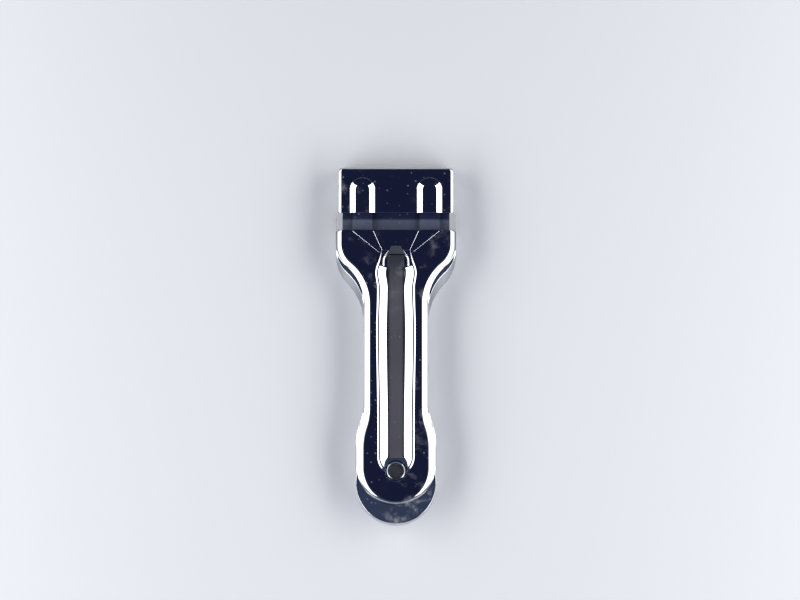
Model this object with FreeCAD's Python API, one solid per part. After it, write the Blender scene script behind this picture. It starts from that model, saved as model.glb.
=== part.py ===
import FreeCAD, Part
import math
import os

from FreeCAD import Vector

# Ceramic hob scraper with a sliding blade guard, lying on its lower shell.
# X runs across, Y along with the blade end at +Y, Z up from the table. Sizes are in millimetres.

# Whole tool
overall_length = 142.8
shell_wall = 2.0
roof_wall = 1.8
floor_wall = 1.8

# Blade, and the widths that follow from it
blade_width = 40.0
blade_length = 20.0
blade_thickness = 0.3
blade_bevel = 1.2
blade_edge = 0.06              # thickness left at the cutting edge
tongue_margin = 1.3            # core plate beyond the blade, each side
slide_clearance = 0.3          # guard to everything that it slides over
guard_wall = 1.4
shoulder_overhang = 1.0        # neck beyond the guard, each side

# Guard
guard_length = 18.0
guard_travel = 6.2
guard_stop_gap = 0.5
guard_lift = 1.0               # underside above the table
guard_floor = 1.0
guard_roof = 1.6
guard_front_wall = 1.3
guard_corner_radius = 1.8
guard_side_lean = 1.1
guard_front_lean = 0.6
guard_lean_height = 1.0        # height of the leaning part of the wall
guard_bottom_bevel = 0.8
slit_height = 1.2

# Arched tunnels on the guard and the rails inside them
rail_spacing = 26.7
rail_width = 8.0
rail_top_width = 7.2
rail_height = 1.6
rail_cover = 5.2               # rail length inside the guard when it is forward
arch_width = 10.0
arch_top_width = 5.2
arch_height = 1.5
arch_front_gap = 9.0           # guard front to the centre of the arch's round end

# Core
tongue_thickness = 3.6
tongue_front_gap = 8.0         # guard front to the tongue's front
tongue_corner_radius = 2.0
core_reach = 34.5              # core behind the neck's front face
core_fit = 0.2
peg_radius = 1.5
peg_spacing = 12.0
peg_height = 0.9
clamp_row_gap = 15.8           # guard front to the row of clamp screws

# Clamp
clamp_thickness = 1.0
clamp_length = 12.4
clamp_side_margin = 1.0
clamp_front_gap = 8.4          # guard front to the clamp's front

# Handle outline at the joint of the shells
lower_shell_height = 5.0
shoulder_side = 10.2
shoulder_radius = 16.0
neck_radius = 24.0
grip_half_width = 12.8
flare_radius = 20.8
tail_radius = 16.0
tail_side = 17.0
front_corner_radius = 1.2
belly_radius = 3.0
belly_facets = 3

# Flat top, with a rounded rim, a nearly level shelf outside it and a slope down to the upright wall
neck_step = 1.9                # flat top above the guard's roof
rim_run = 2.3                  # the rim's width, seen from above
rim_tail_run = 1.4             # the same at the tail's end
rim_tail_margin = 0.4          # rim to wall at the tail's sides
rim_drop = 1.6
rim_facets = 3
rim_roundness = 1.3            # how fast the rim steepens outwards, 1 being straight
shelf_drop = 0.3
shelf_share = 0.36             # shelf's part of the way from the rim to the wall
tail_shelf_share = 0.86        # the same round the tail
slope_drop = 3.6
shoulder_slope = 2.4
grip_slope = 2.65
tail_slope = 3.6
top_shoulder_side = 5.7
top_shoulder_radius = 9.0
top_neck_radius = 22.0
top_flare_radius = 26.7
top_tail_side = 8.9

# Strips let into the neck's sides, between which the guard slides back
guide_seat = 3.0               # length inside the neck
guide_front_gap = 0.3          # strip to the guard when it is forward
guide_edge = 0.35

# Spine, grip strip and the legs that fan out over the neck
spine_height = 2.4
spine_half_width = 7.85
spine_front_half_width = 6.6
spine_tail_half_width = 7.4
spine_slope = 3.9
spine_taper = 11.0             # length over which the spine narrows to its front
spine_setback = 8.2            # neck front to spine front
spine_front_slope = 1.2
nose_length = 7.0              # the spine's top, strip and button slope down over this length
nose_drop = 1.5
strip_half_width = 3.2
strip_fit = 0.05
strip_seat_depth = 2.0
strip_recess = 0.35
strip_edge_radius = 0.4
strip_end_wall = 0.5
leg_front_half_width = 4.3
leg_rear_width = 2.2
leg_rear_setback = 1.0         # spine front to the leg's rear end, which is inside the spine
leg_front_setback = 0.35
leg_height = 0.25
leg_edge = 0.3

# Lock button and spring
button_travel = 0.5            # also the room between its flange and the core
button_setback = 1.5           # spine front to the button's rear face
button_length = 3.3
button_rear_half_width = 3.4
button_front_half_width = 1.8
button_rear_rise = 0.5         # above the spine's nose
button_front_rise = 0.5        # above the flat top
button_gap = 0.25
button_flange = 1.0
button_edge = 0.2
spring_thickness = 0.4
spring_width = 5.0
spring_nose_height = 1.0
spring_nose_gap = 0.2
spring_seat = 10.0             # clamped length at its rear end
nose_dip_ratio = 3.0           # the nose dips this many times as far as the button
spring_cover = 0.8             # skin of the tongue over the spring
spring_cover_gap = 0.1
spring_tail_gap = 3.0          # core's rear end to the spring

# Hang hole
hang_hole_from_end = 22.2
eyelet_bore_radius = 3.2
eyelet_tube_wall = 0.5
eyelet_flange_width = 0.65
eyelet_flange_thickness = 0.5
eyelet_seat_gap = 0.2
eyelet_recess = 0.1            # lower flange above the table
eyelet_rise = 0.1              # upper flange above the flat top
eyelet_edge = 0.16             # outer edge of the upper flange
eyelet_lip = 0.4               # funnel round the bore, width and depth
eyelet_lip_depth = 0.34

# Screws
screw_radius = 1.25
screw_fit = 0.02
screw_clearance = 0.2
screw_head_radius = 2.5
screw_head_height = 1.3
screw_head_recess = 0.1
screw_slot_width = 0.6
screw_slot_depth = 0.7
screw_slot_reach = 0.6         # of the head's radius
boss_radius = 3.2              # also half the web that a handle screw goes into
boss_roof = 0.9                # metal left above a blind screw hole
neck_screw_spacing = 31.0
neck_screw_setback = 7.0
front_handle_screw_gap = 9.0   # behind the core
rear_handle_screw_gap = 17.0   # in front of the hang hole
clamp_head_radius = 2.4
insert_wall = 0.75
insert_roof = 1.0
spring_screw_radius = 1.0
spring_screw_head_radius = 1.9
spring_screw_head_height = 1.0
spring_screw_length = 4.0

# Heights worked out upwards through the head
guard_inner_floor = guard_lift + guard_floor
clamp_bottom = guard_inner_floor + slide_clearance
blade_bottom = clamp_bottom + clamp_thickness
tongue_bottom = blade_bottom + blade_thickness
tongue_top = tongue_bottom + tongue_thickness
rail_top = tongue_top + rail_height
guard_ceiling = tongue_top + slide_clearance
guard_top = guard_ceiling + guard_roof
plateau = guard_top + neck_step
shell_ceiling = plateau - roof_wall
spine_top = plateau + spine_height
spring_top = tongue_top - spring_cover - spring_cover_gap
spring_bottom = spring_top - spring_thickness
spring_room_floor = spring_bottom - nose_dip_ratio * button_travel
button_flange_bottom = tongue_top + button_travel

# Widths worked out from the blade
tongue_half = blade_width / 2 + tongue_margin
guard_inner_half = tongue_half + slide_clearance
guard_half = guard_inner_half + guard_wall
shoulder_half = guard_half + shoulder_overhang

# Places along the tool
front = overall_length / 2
guard_rear = front - guard_length
neck_front = guard_rear - guard_travel - guard_stop_gap
tongue_front = front - tongue_front_gap
blade_front = front - guard_front_wall - slide_clearance
blade_rear = blade_front - blade_length
clamp_front = front - clamp_front_gap
clamp_row = front - clamp_row_gap
core_rear = neck_front - core_reach
rail_front = guard_rear + rail_cover
spine_front = neck_front - spine_setback
button_rear = spine_front - button_setback
button_front = button_rear + button_length
strip_front = button_rear - button_gap
nose_start = spine_front - nose_length
hang_hole = -front + hang_hole_from_end
tail_centre = -front + tail_radius
eyelet_tube_radius = eyelet_bore_radius + eyelet_tube_wall
eyelet_seat_radius = eyelet_tube_radius + eyelet_flange_width + eyelet_seat_gap
eyelet_top = plateau + eyelet_rise
eyelet_seat = eyelet_top - eyelet_flange_thickness
strip_rear = hang_hole + eyelet_seat_radius + strip_end_wall
spring_rear = core_rear + spring_tail_gap
spring_nose = guard_rear + guard_wall + spring_nose_gap
spring_screw_place = spring_rear + spring_seat / 2
neck_screw_places = [(side * neck_screw_spacing / 2, neck_front - neck_screw_setback) for side in (-1, 1)]
handle_screw_places = [(0, core_rear - front_handle_screw_gap), (0, hang_hole + rear_handle_screw_gap)]
clamp_screw_places = [(side * rail_spacing / 2, clamp_row) for side in (-1, 1)]


def box(x_range, y_range, z_range):
    low = Vector(x_range[0], y_range[0], z_range[0])
    return Part.makeBox(x_range[1] - low.x, y_range[1] - low.y, z_range[1] - low.z, low)


def centred_box(half_width, y_range, z_range):
    return box((-half_width, half_width), y_range, z_range)


def post(radius, place, bottom, top):
    return Part.makeCylinder(radius, top - bottom, Vector(place[0], place[1], bottom))


def cone(bottom_radius, top_radius, place, bottom, top):
    return Part.makeCone(bottom_radius, top_radius, top - bottom, Vector(place[0], place[1], bottom))


def polygon(points):
    return Part.makePolygon([Vector(*point) for point in points + points[:1]])


def prism_across(profile, half_width):
    """Extrude a closed (y, z) profile across X."""
    face = Part.Face(polygon([(-half_width, y, z) for y, z in profile]))
    return face.extrude(Vector(2 * half_width, 0, 0))


def loft(wires):
    return Part.makeLoft(wires, True, True)


def joined(shapes):
    return shapes[0].multiFuse(shapes[1:]).removeSplitter()


def traced(start, steps):
    """Wire from a start point through (via, end) steps, straight where via is None."""
    edges = []
    for via, end in steps:
        if via is None:
            curve = Part.LineSegment(start, end)
        else:
            curve = Part.Arc(start, via, end)
        edges.append(curve.toShape())
        start = end
    return Part.Wire(edges)


def mirrored_loop(right_start, right_steps):
    """Close the right-hand half of an outline, traced from front to tail, by its mirror image."""
    def flipped(point):
        return None if point is None else Vector(-point.x, point.y, point.z)

    ends = [right_start] + [end for via, end in right_steps]
    left_steps = []
    for i in reversed(range(len(right_steps))):
        left_steps.append((flipped(right_steps[i][0]), flipped(ends[i])))
    return traced(right_start, right_steps + left_steps + [(None, right_start)])


def bend(x_from, x_to, first_radius, second_radius):
    """Angle and length along Y of an S of two arcs that moves the side from one width to another."""
    both = first_radius + second_radius
    angle = math.acos(1 - abs(x_to - x_from) / both)
    return angle, both * math.sin(angle)


def bend_steps(start, x_to, first_radius, second_radius):
    """The two arcs of that S, from a start point towards the tail."""
    angle, length = bend(start.x, x_to, first_radius, second_radius)
    turn = math.copysign(1, start.x - x_to)
    end = Vector(x_to, start.y - length, start.z)

    def on_first(a):
        return start + Vector(turn * first_radius * (math.cos(a) - 1), -first_radius * math.sin(a), 0)

    def on_second(a):
        return end + Vector(turn * second_radius * (1 - math.cos(a)), second_radius * math.sin(a), 0)

    return [(on_first(angle / 2), on_first(angle)), (on_second(angle / 2), end)]


def quarter(centre, radius, from_angle, to_angle):
    """One arc step about a centre, angles in degrees."""
    def at(degrees):
        a = math.radians(degrees)
        return centre + Vector(radius * math.cos(a), radius * math.sin(a), 0)

    return at((from_angle + to_angle) / 2), at(to_angle)


def body_outline(z, sizes, inset):
    """Closed outline of neck, handle and tail at height z, set in all round."""
    half = sizes["shoulder_half"] - inset
    grip = sizes["grip_half"] - inset
    tail = sizes["tail_radius"] - inset
    corner = max(front_corner_radius - inset, front_corner_radius / 2)
    front_y = neck_front - inset
    side_end = Vector(half, neck_front - sizes["shoulder_side"], z)
    steps = [quarter(Vector(half - corner, front_y - corner, z), corner, 90, 0), (None, side_end)]
    steps += bend_steps(side_end, grip, sizes["shoulder_radius"] - inset, sizes["neck_radius"] + inset)
    flare_in = sizes["flare_radius"] + inset
    flare_out = sizes["flare_radius"] - inset
    flare_end_y = sizes["tail_centre"] + sizes["tail_side"]
    flare_start = Vector(grip, flare_end_y + bend(grip, tail, flare_in, flare_out)[1], z)
    steps.append((None, flare_start))
    steps += bend_steps(flare_start, tail, flare_in, flare_out)
    tail_point = Vector(0, sizes["tail_centre"], z)
    steps.append((None, tail_point + Vector(tail, 0, 0)))
    steps.append(quarter(tail_point, tail, 0, -90))
    return mirrored_loop(Vector(half - corner, front_y, z), steps)


joint_sizes = {
    "shoulder_half": shoulder_half,
    "shoulder_side": shoulder_side,
    "shoulder_radius": shoulder_radius,
    "neck_radius": neck_radius,
    "grip_half": grip_half_width,
    "flare_radius": flare_radius,
    "tail_radius": tail_radius,
    "tail_side": tail_side,
    "tail_centre": tail_centre,
}
top_sizes = {
    "shoulder_half": shoulder_half - shoulder_slope,
    "shoulder_side": top_shoulder_side,
    "shoulder_radius": top_shoulder_radius,
    "neck_radius": top_neck_radius,
    "grip_half": grip_half_width - grip_slope,
    "flare_radius": top_flare_radius,
    "tail_radius": tail_radius - tail_slope,
    "tail_side": top_tail_side,
    "tail_centre": hang_hole,
}


def mixed_sizes(inner, outer, share):
    """Sizes of an outline part of the way from an inner to an outer one."""
    return {name: size + share * (outer[name] - size) for name, size in inner.items()}


rim_tail_radius = tail_radius - rim_tail_margin
rim_tail_centre = hang_hole - top_sizes["tail_radius"] - rim_tail_run + rim_tail_radius
rim_sizes = {
    "shoulder_half": top_sizes["shoulder_half"] + rim_run,
    "shoulder_side": top_shoulder_side,
    "shoulder_radius": top_shoulder_radius + rim_run,
    "neck_radius": top_neck_radius - rim_run,
    "grip_half": top_sizes["grip_half"] + rim_run,
    "flare_radius": top_flare_radius,
    "tail_radius": rim_tail_radius,
    "tail_side": hang_hole + top_tail_side - rim_tail_centre,
    "tail_centre": rim_tail_centre,
}
shelf_sizes = mixed_sizes(rim_sizes, joint_sizes, shelf_share)
tail_shelf_sizes = mixed_sizes(rim_sizes, joint_sizes, tail_shelf_share)
for size_name in ("tail_radius", "tail_side", "tail_centre"):
    shelf_sizes[size_name] = tail_shelf_sizes[size_name]


def upper_sections():
    """Outlines from the top of the upright wall up over slope, shelf and rim to the flat top."""
    shelf_inside = plateau - rim_drop
    shelf_outside = shelf_inside - shelf_drop
    sections = [
        body_outline(shelf_outside - slope_drop, joint_sizes, 0),
        body_outline(shelf_outside, shelf_sizes, 0),
    ]
    for i in range(rim_facets + 1):
        share = 1 - i / rim_facets
        z = plateau - rim_drop * share ** rim_roundness
        sections.append(body_outline(z, mixed_sizes(top_sizes, rim_sizes, share), 0))
    return sections


def belly_sections():
    """Outlines from the flat underside round the belly to the upright wall."""
    sections = []
    for i in range(belly_facets + 1):
        turn = math.pi / 2 * i / belly_facets
        inset = belly_radius * (1 - math.sin(turn))
        sections.append(body_outline(belly_radius * (1 - math.cos(turn)), joint_sizes, inset))
    return sections


def edges_at(shape, z, keep):
    """Edges that lie in the plane at height z and pass the keep test at their middle."""
    tolerance = 1e-4
    found = []
    for edge in shape.Edges:
        flat = abs(edge.BoundBox.ZMin - z) < tolerance and abs(edge.BoundBox.ZMax - z) < tolerance
        if flat and keep(edge.CenterOfMass):
            found.append(edge)
    return found


def hollow(bottom, top, bottom_sizes, upper_sizes):
    """Room for the core in the neck, and two pockets in the handle beside the webs for its screws."""
    front_screw, rear_screw = (y for x, y in handle_screw_places)
    tail_front = hang_hole + eyelet_seat_radius + shell_wall
    room = loft([
        body_outline(bottom, bottom_sizes, shell_wall),
        body_outline(top, upper_sizes, shell_wall),
    ])
    room = room.common(centred_box(shoulder_half, (front_screw + boss_radius, front), (bottom, top)))
    pocket_half = grip_half_width - 2 * shell_wall
    return joined([
        room,
        centred_box(pocket_half, (rear_screw + boss_radius, front_screw - boss_radius), (bottom, top)),
        centred_box(pocket_half, (tail_front, rear_screw - boss_radius), (bottom, top)),
    ])


def neck_window(bottom, top):
    """Opening in the neck's front face through which the core's tongue reaches."""
    return centred_box(tongue_half + core_fit, (neck_front - 2 * shell_wall, front), (bottom, top))


def spine_outline(z, inset, front_inset):
    """Plan of the raised spine: straight front, slight belly, round tail."""
    front_y = spine_front - front_inset
    front_half = spine_front_half_width - inset
    half = spine_half_width - inset
    tail = spine_tail_half_width - inset
    tail_point = Vector(0, strip_rear + strip_end_wall, z)
    steps = [
        (None, Vector(half, spine_front - spine_taper, z)),
        (None, tail_point + Vector(tail, 0, 0)),
        quarter(tail_point, tail, 0, -90),
    ]
    return mirrored_loop(Vector(front_half, front_y, z), steps)


def nose_height(y):
    """Height of the spine's top, which slopes down towards its front."""
    return spine_top - nose_drop * max(y - nose_start, 0) / nose_length


def neck_leg(side):
    """Low flat leg from the spine's nose, fanning out to the neck's front over the rail."""
    rear = spine_front - leg_rear_setback
    front_y = neck_front - leg_front_setback
    rear_outer = spine_front_half_width
    rear_inner = spine_front_half_width - leg_rear_width
    front_outer = rail_spacing / 2 + leg_front_half_width
    front_inner = rail_spacing / 2 - leg_front_half_width

    def plan(z, edge):
        return polygon([
            (side * (rear_inner + edge), rear, z),
            (side * (rear_outer - edge), rear, z),
            (side * (front_outer - edge), front_y - edge, z),
            (side * (front_inner + edge), front_y - edge, z),
        ])

    return loft([plan(plateau, 0), plan(plateau + leg_height, leg_edge)])


def button_block(gap, bottom, lift):
    """Wedge of the lock button, or with a gap the opening that it moves in."""
    def section(y, half, top):
        return polygon([(-half, y, bottom), (half, y, bottom), (half, y, top), (-half, y, top)])

    rear_top = nose_height(button_rear) + button_rear_rise + lift
    front_top = plateau + button_front_rise + lift
    return loft([
        section(button_rear - gap, button_rear_half_width + gap, rear_top),
        section(button_front + gap, button_front_half_width + gap, front_top),
    ])


def side_guide(side, edge, outer):
    """Strip beside the guard's way back, with its upper edge taken off, or the rebate that it sits in."""
    inner = guard_half + slide_clearance
    bottom = belly_radius
    top = guard_top - guard_lean_height
    profile = [(inner, bottom), (outer, bottom), (outer, top - edge), (outer - edge, top), (inner, top)]
    rear = neck_front - guide_seat
    length = guard_rear - guide_front_gap - rear
    face = Part.Face(polygon([(side * x, rear, z) for x, z in profile]))
    return face.extrude(Vector(0, length, 0))


def make_side_guides():
    outer = rim_sizes["shoulder_half"]
    return Part.makeCompound([side_guide(side, guide_edge, outer) for side in (-1, 1)])


def make_top_shell():
    shell = loft([body_outline(lower_shell_height, joint_sizes, 0)] + upper_sections())
    spine = loft([spine_outline(plateau, 0, 0), spine_outline(spine_top, spine_slope, spine_front_slope)])
    above_nose = [
        (nose_start, spine_top),
        (spine_front, nose_height(spine_front)),
        (spine_front, spine_top),
    ]
    spine = spine.cut(prism_across(above_nose, spine_half_width))
    shell = joined([shell, spine, neck_leg(-1), neck_leg(1)])
    room = hollow(lower_shell_height, shell_ceiling, joint_sizes, top_sizes)
    room = room.fuse(neck_window(lower_shell_height, tongue_top))
    bosses = [post(boss_radius, place, tongue_top, shell_ceiling) for place in neck_screw_places]
    room = room.cut(Part.makeCompound(bosses))
    seat_floor = spine_top - strip_seat_depth
    cuts = [
        room,
        centred_box(strip_half_width + strip_fit, (strip_rear, strip_front), (seat_floor, spine_top)),
        button_block(button_gap, shell_ceiling, spine_height),
        post(eyelet_tube_radius, (0, hang_hole), 0, spine_top),
        post(eyelet_seat_radius, (0, hang_hole), eyelet_seat, spine_top),
        side_guide(-1, guide_edge, shoulder_half + guide_edge),
        side_guide(1, guide_edge, shoulder_half + guide_edge),
    ]
    for place in neck_screw_places + handle_screw_places:
        cuts.append(post(screw_radius + screw_fit, place, lower_shell_height, plateau - boss_roof))
    return shell.cut(Part.makeCompound(cuts))


def make_bottom_shell():
    shell = loft(belly_sections() + [body_outline(lower_shell_height, joint_sizes, 0)])
    room = hollow(floor_wall, lower_shell_height, joint_sizes, joint_sizes)
    room = room.fuse(neck_window(tongue_bottom, lower_shell_height))
    flange_seat = eyelet_recess + eyelet_flange_thickness
    cuts = [
        room,
        post(eyelet_tube_radius, (0, hang_hole), 0, lower_shell_height),
        post(eyelet_seat_radius, (0, hang_hole), 0, flange_seat),
        side_guide(-1, guide_edge, shoulder_half + guide_edge),
        side_guide(1, guide_edge, shoulder_half + guide_edge),
    ]
    for place in neck_screw_places + handle_screw_places:
        cuts.append(post(screw_radius + screw_clearance, place, 0, lower_shell_height))
        head_top = screw_head_recess + screw_head_height
        cuts.append(post(screw_head_radius + screw_clearance, place, 0, head_top))
    return shell.cut(Part.makeCompound(cuts))


def rail(side, gap, front_y):
    """Tapered rail on the core, or with a gap the tunnel that it runs in."""
    x = side * rail_spacing / 2
    foot = rail_width / 2 + gap
    crown = rail_top_width / 2 + gap
    top = rail_top + gap
    profile = polygon([
        (x - foot, neck_front, tongue_top),
        (x + foot, neck_front, tongue_top),
        (x + crown, neck_front, top),
        (x - crown, neck_front, top),
    ])
    return Part.Face(profile).extrude(Vector(0, front_y - neck_front, 0))


def make_core_frame():
    inset = shell_wall + core_fit
    lower = Part.Face(body_outline(floor_wall, joint_sizes, inset))
    lower = lower.extrude(Vector(0, 0, lower_shell_height - floor_wall))
    upper = loft([
        body_outline(lower_shell_height, joint_sizes, inset),
        body_outline(shell_ceiling, top_sizes, inset),
    ])
    block = joined([lower, upper])
    block = block.common(centred_box(shoulder_half, (core_rear, front), (floor_wall, tongue_top)))
    root = neck_front - 2 * shell_wall
    tongue = centred_box(tongue_half, (root, tongue_front), (tongue_bottom, tongue_top))
    uprights = [e for e in tongue.Edges if e.BoundBox.ZLength > tongue_thickness / 2]
    corners = [e for e in uprights if e.BoundBox.YMin > neck_front]
    tongue = tongue.makeFillet(tongue_corner_radius, corners)
    pegs = [
        post(peg_radius, (side * peg_spacing / 2, clamp_row), tongue_bottom - peg_height, tongue_bottom)
        for side in (-1, 1)
    ]
    core = joined([block, tongue, rail(-1, 0, rail_front), rail(1, 0, rail_front)] + pegs)
    channel = spring_width / 2 + core_fit
    channel_front = spring_nose + spring_thickness + slide_clearance
    seat_front = spring_rear + spring_seat
    nose_slot = (spring_nose - slide_clearance, channel_front)
    screw_bottom = spring_top - spring_screw_length
    cuts = [
        centred_box(channel, (spring_rear - core_fit, root), (spring_bottom, tongue_top)),
        centred_box(channel, (seat_front, channel_front), (spring_room_floor, tongue_top - spring_cover)),
        centred_box(channel, nose_slot, (spring_bottom, tongue_top)),
        post(spring_screw_radius + screw_fit, (0, spring_screw_place), screw_bottom, tongue_top),
    ]
    for place in neck_screw_places:
        cuts.append(post(screw_radius + screw_clearance, place, floor_wall, tongue_top))
    for place in clamp_screw_places:
        cuts.append(post(screw_radius + insert_wall, place, tongue_bottom, rail_top - insert_roof))
    return core.cut(Part.makeCompound(cuts))


def guard_outline(z, side_inset, front_inset):
    """Plan of the guard at height z: square rear, rounded front corners."""
    half = guard_half - side_inset
    front_y = front - front_inset
    radius = guard_corner_radius
    corner = Vector(half - radius, front_y - radius, z)
    steps = [
        quarter(corner, radius, 90, 0),
        (None, Vector(half, guard_rear, z)),
        (None, Vector(0, guard_rear, z)),
    ]
    return mirrored_loop(Vector(half - radius, front_y, z), steps)


def arch(side):
    """Raised tunnel roof with a round front end and sloping flanks."""
    x = side * rail_spacing / 2
    centre_y = front - arch_front_gap

    def plan(z, half):
        centre = Vector(x, centre_y, z)
        return traced(Vector(x + half, guard_rear, z), [
            (None, Vector(x + half, centre_y, z)),
            quarter(centre, half, 0, 90),
            quarter(centre, half, 90, 180),
            (None, Vector(x - half, guard_rear, z)),
            (None, Vector(x + half, guard_rear, z)),
        ])

    return loft([plan(guard_top, arch_width / 2), plan(guard_top + arch_height, arch_top_width / 2)])


def make_blade_guard():
    guard = loft([
        guard_outline(guard_lift, guard_bottom_bevel, guard_bottom_bevel),
        guard_outline(guard_lift + guard_bottom_bevel, 0, 0),
        guard_outline(guard_top - guard_lean_height, 0, 0),
        guard_outline(guard_top, guard_side_lean, guard_front_lean),
    ])
    guard = joined([guard, arch(-1), arch(1)])
    inner_front = front - guard_front_wall
    slit_middle = blade_bottom + blade_thickness / 2
    slit = (slit_middle - slit_height / 2, slit_middle + slit_height / 2)
    tunnel_front = rail_front + guard_travel + slide_clearance
    cuts = [
        centred_box(guard_inner_half, (guard_rear, inner_front), (guard_inner_floor, guard_ceiling)),
        centred_box(blade_width / 2 + slide_clearance, (inner_front, front), slit),
        rail(-1, slide_clearance, tunnel_front),
        rail(1, slide_clearance, tunnel_front),
    ]
    pocket_half = spring_width / 2 + slide_clearance
    pocket_rear = spring_nose - spring_nose_gap
    pocket_front = spring_nose + spring_thickness + spring_nose_gap
    pocket_top = tongue_top + spring_nose_height + spring_nose_gap
    for shift in (0, guard_travel):
        pocket_span = (pocket_rear + shift, pocket_front + shift)
        cuts.append(centred_box(pocket_half, pocket_span, (guard_ceiling, pocket_top)))
    return guard.cut(Part.makeCompound(cuts))


def make_blade():
    top = blade_bottom + blade_thickness
    lip = (blade_thickness - blade_edge) / 2
    blade = prism_across([
        (blade_rear, blade_bottom),
        (blade_front - blade_bevel, blade_bottom),
        (blade_front, blade_bottom + lip),
        (blade_front, top - lip),
        (blade_front - blade_bevel, top),
        (blade_rear, top),
    ], blade_width / 2)
    holes = [post(screw_radius + screw_clearance, place, blade_bottom, top) for place in clamp_screw_places]
    for side in (-1, 1):
        holes.append(post(peg_radius + screw_fit, (side * peg_spacing / 2, clamp_row), blade_bottom, top))
    return blade.cut(Part.makeCompound(holes))


def make_blade_clamp():
    half = blade_width / 2 - clamp_side_margin
    top = clamp_bottom + clamp_thickness
    plate = prism_across([
        (clamp_front - clamp_length, clamp_bottom),
        (clamp_front - clamp_thickness, clamp_bottom),
        (clamp_front, top - clamp_thickness / 2),
        (clamp_front, top),
        (clamp_front - clamp_length, top),
    ], half)
    holes = []
    for place in clamp_screw_places:
        holes.append(cone(clamp_head_radius, screw_radius + screw_fit, place, clamp_bottom, top))
    for side in (-1, 1):
        holes.append(post(peg_radius + screw_fit, (side * peg_spacing / 2, clamp_row), clamp_bottom, top))
    return plate.cut(Part.makeCompound(holes))


def cross_slot(place, bottom, head_radius):
    """Cross recess of a screw head, from its bottom upwards."""
    x, y = place
    half = screw_slot_width / 2
    reach = screw_slot_reach * head_radius
    top = bottom + screw_slot_depth
    return Part.makeCompound([
        box((x - reach, x + reach), (y - half, y + half), (bottom, top)),
        box((x - half, x + half), (y - reach, y + reach), (bottom, top)),
    ])


def shell_screw(place, tip):
    """Pan head screw driven upwards through the lower shell."""
    head_top = screw_head_recess + screw_head_height
    head = post(screw_head_radius, place, screw_head_recess, head_top)
    screw = joined([head, post(screw_radius, place, screw_head_recess, tip)])
    return screw.cut(cross_slot(place, screw_head_recess, screw_head_radius))


def make_neck_screws():
    tip = plateau - boss_roof - screw_clearance
    return Part.makeCompound([shell_screw(place, tip) for place in neck_screw_places])


def make_handle_screws():
    tip = shell_ceiling - screw_clearance
    return Part.makeCompound([shell_screw(place, tip) for place in handle_screw_places])


def make_clamp_screws():
    screws = []
    for place in clamp_screw_places:
        head = cone(clamp_head_radius - screw_fit, screw_radius, place, clamp_bottom, blade_bottom)
        shank = post(screw_radius, place, clamp_bottom, rail_top - insert_roof)
        screws.append(joined([head, shank]).cut(cross_slot(place, clamp_bottom, clamp_head_radius)))
    return Part.makeCompound(screws)


def make_clamp_inserts():
    inserts = []
    for place in clamp_screw_places:
        sleeve = post(screw_radius + insert_wall, place, tongue_bottom, rail_top - insert_roof)
        inserts.append(sleeve.cut(post(screw_radius + screw_fit, place, tongue_bottom, rail_top)))
    return Part.makeCompound(inserts)


def make_lock_spring():
    tip = tongue_top + spring_nose_height
    leaf = prism_across([
        (spring_rear, spring_bottom),
        (spring_nose + spring_thickness, spring_bottom),
        (spring_nose + spring_thickness, tip),
        (spring_nose, tip),
        (spring_nose, spring_top),
        (spring_rear, spring_top),
    ], spring_width / 2)

    def at_nose(middle):
        return middle.y > spring_nose - spring_thickness

    inner_bend = edges_at(leaf, spring_top, at_nose)
    outer_bend = edges_at(leaf, spring_bottom, at_nose)
    leaf = leaf.makeFillet(spring_thickness / 2, inner_bend + outer_bend)
    hole = post(spring_screw_radius + screw_fit, (0, spring_screw_place), spring_bottom, spring_top)
    return leaf.cut(hole)


def make_spring_screw():
    place = (0, spring_screw_place)
    top = spring_top + spring_screw_head_height
    head = post(spring_screw_head_radius, place, spring_top, top)
    shank = post(spring_screw_radius, place, spring_top - spring_screw_length, top)
    slot = cross_slot(place, top - screw_slot_depth, spring_screw_head_radius)
    return joined([head, shank]).cut(slot)


def make_lock_button():
    flange_span = (button_rear - button_flange, button_front + button_flange)
    flange_heights = (button_flange_bottom, shell_ceiling)
    flange = centred_box(button_rear_half_width + button_flange, flange_span, flange_heights)
    foot = centred_box(spring_width / 2, (button_rear, button_front), (spring_top, button_flange_bottom))
    wedge = button_block(0, button_flange_bottom, 0)
    tops = [e for e in wedge.Edges if e.BoundBox.ZMin > plateau]
    wedge = wedge.makeChamfer(button_edge, tops)
    return joined([wedge, flange, foot])


def make_grip_strip():
    seat = spine_top - strip_seat_depth
    strip = prism_across([
        (strip_rear, seat),
        (strip_front, seat),
        (strip_front, nose_height(strip_front) - strip_recess),
        (nose_start, spine_top - strip_recess),
        (strip_rear, spine_top - strip_recess),
    ], strip_half_width)
    long_edges = []
    for edge in strip.Edges:
        along = edge.BoundBox.YLength > nose_length / 2
        if along and edge.BoundBox.ZMin > seat:
            long_edges.append(edge)
    return strip.makeFillet(strip_edge_radius, long_edges)


def make_hang_eyelet():
    bore = eyelet_bore_radius
    tube = eyelet_tube_radius
    flange = tube + eyelet_flange_width
    low = eyelet_recess
    low_top = low + eyelet_flange_thickness
    high = eyelet_top
    profile = polygon([
        (bore, 0, low),
        (flange, 0, low),
        (flange, 0, low_top),
        (tube, 0, low_top),
        (tube, 0, eyelet_seat),
        (flange, 0, eyelet_seat),
        (flange, 0, high - eyelet_edge),
        (flange - eyelet_edge, 0, high),
        (bore + eyelet_lip, 0, high),
        (bore, 0, high - eyelet_lip_depth),
    ])
    ring = Part.Face(profile).revolve(Vector(0, 0, 0), Vector(0, 0, 1), 360)
    ring.translate(Vector(0, hang_hole, 0))
    return ring


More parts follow.
